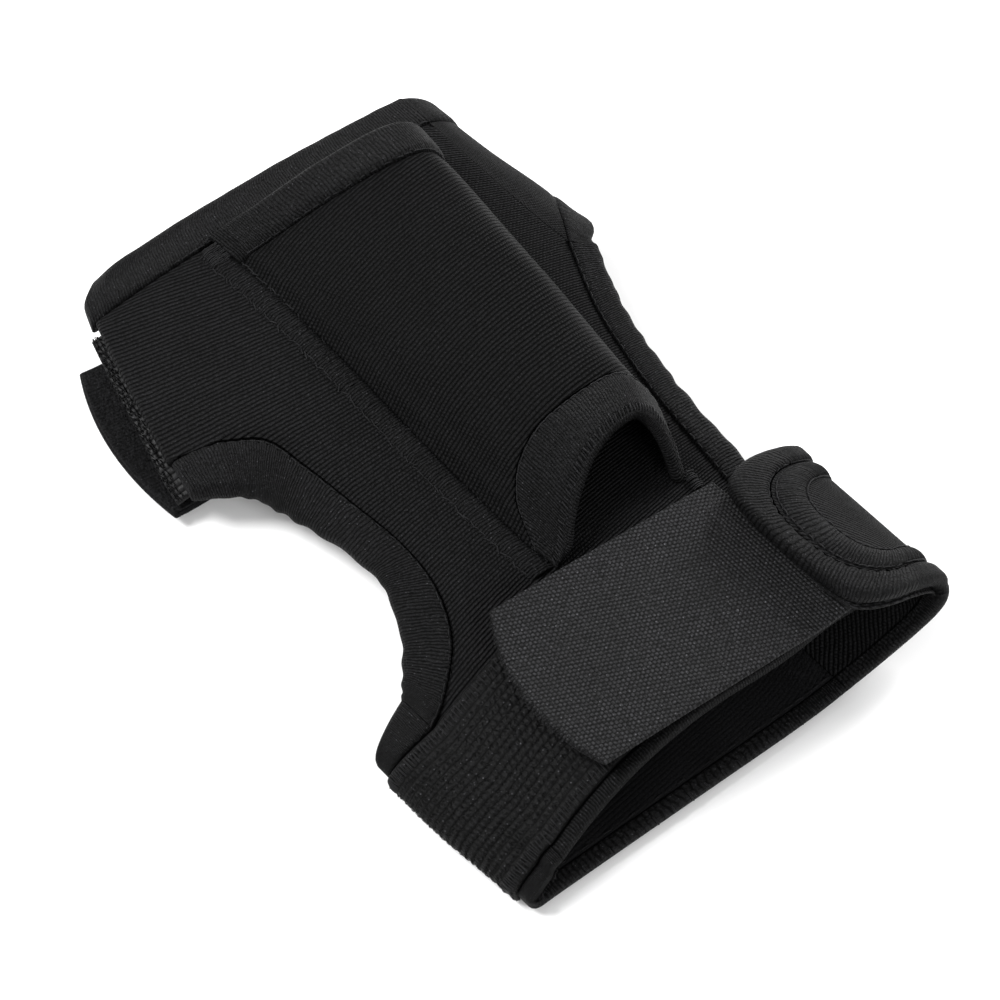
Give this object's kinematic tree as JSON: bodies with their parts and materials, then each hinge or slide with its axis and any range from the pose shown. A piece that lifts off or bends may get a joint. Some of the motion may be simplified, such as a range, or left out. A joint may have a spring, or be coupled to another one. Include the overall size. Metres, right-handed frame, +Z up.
{
  "type": "wrist support brace",
  "caption": "Neoprene wrist support with a bound splint pocket, a hook and loop wrist strap and a hand loop, lying palm side up.",
  "frame": {"origin": "on the underside of the wrist band, below the middle of the wrist loop", "axes": "+Y from the wrist edge to the hand edge, +Z up through the hand, +X to the outer fold"},
  "size_m": [0.123, 0.1654, 0.0325],
  "materials": {
    "neoprene_knit": "ribbed knit face on neoprene",
    "edge_binding": "folded edge tape with dense overlock stitches",
    "strap_webbing": "close woven strap with a diagonal dot knit",
    "loop_pile": "napped loop pile in rows",
    "hook_tape": "moulded hooks on a woven ground",
    "thread": "cover stitch and bar tack thread",
    "splint_metal": "brushed strip with rounded ends"
  },
  "bodies": {
    "brace": {"body_panel": "neoprene_knit", "hand_edge_hem": "edge_binding", "thumb_side_binding": "edge_binding", "outer_side_binding": "edge_binding", "wrist_lip_hem": "neoprene_knit", "wrist_band": "neoprene_knit", "wrist_band_lip_hem": "neoprene_knit", "wrist_band_binding": "edge_binding", "loop_tape": "loop_pile", "tape_stitching": "thread", "pocket_panel": "neoprene_knit", "pocket_hand_hem": "edge_binding", "pocket_mouth_binding": "edge_binding", "pocket_seam_tape": "edge_binding", "pocket_side_seam": "edge_binding", "bar_tacks": "thread", "palm_strap": "neoprene_knit", "palm_strap_bindings": "edge_binding"},
    "wing": {"wrist_wing": "neoprene_knit", "wing_binding": "edge_binding", "wing_inner_seam": "thread", "strap_root": "strap_webbing"},
    "strap": {"wrist_strap": "strap_webbing", "strap_hook_pad": "hook_tape"},
    "tab": {"hand_tab": "neoprene_knit", "hand_tab_hem": "edge_binding", "hand_tab_binding": "edge_binding", "hand_hook_tape": "hook_tape"},
    "flap": {"palm_flap": "neoprene_knit", "palm_flap_loop_face": "loop_pile"},
    "splint": {"splint": "splint_metal"}
  },
  "joints": [
    {"name": "wing_open", "type": "hinge", "parent": "brace", "child": "wing", "pos_m": [0.05179, 0.004, 0.0135], "axis": [-0.1628, 0.9867, 0], "range_deg": [0, 165]},
    {"name": "strap_peel", "type": "hinge", "parent": "wing", "child": "strap", "pos_m": [0.026, 0.004, 0.0212], "axis": [-0.1627, 0.9859, -0.0394], "range_deg": [0, 90]},
    {"name": "tab_lift", "type": "hinge", "parent": "brace", "child": "tab", "pos_m": [-0.0445, 0.1125, 0.01471], "axis": [0.2383, 0.9692, 0.0627], "range_deg": [0, 80]},
    {"name": "flap_press", "type": "hinge", "parent": "brace", "child": "flap", "pos_m": [-0.04015, 0.11, 0.0031], "axis": [0, 1, 0], "range_deg": [0, 2]},
    {"name": "splint_slide", "type": "slide", "parent": "brace", "child": "splint", "axis": [0, 1, 0], "range_m": [0, 0.082]}
  ]
}
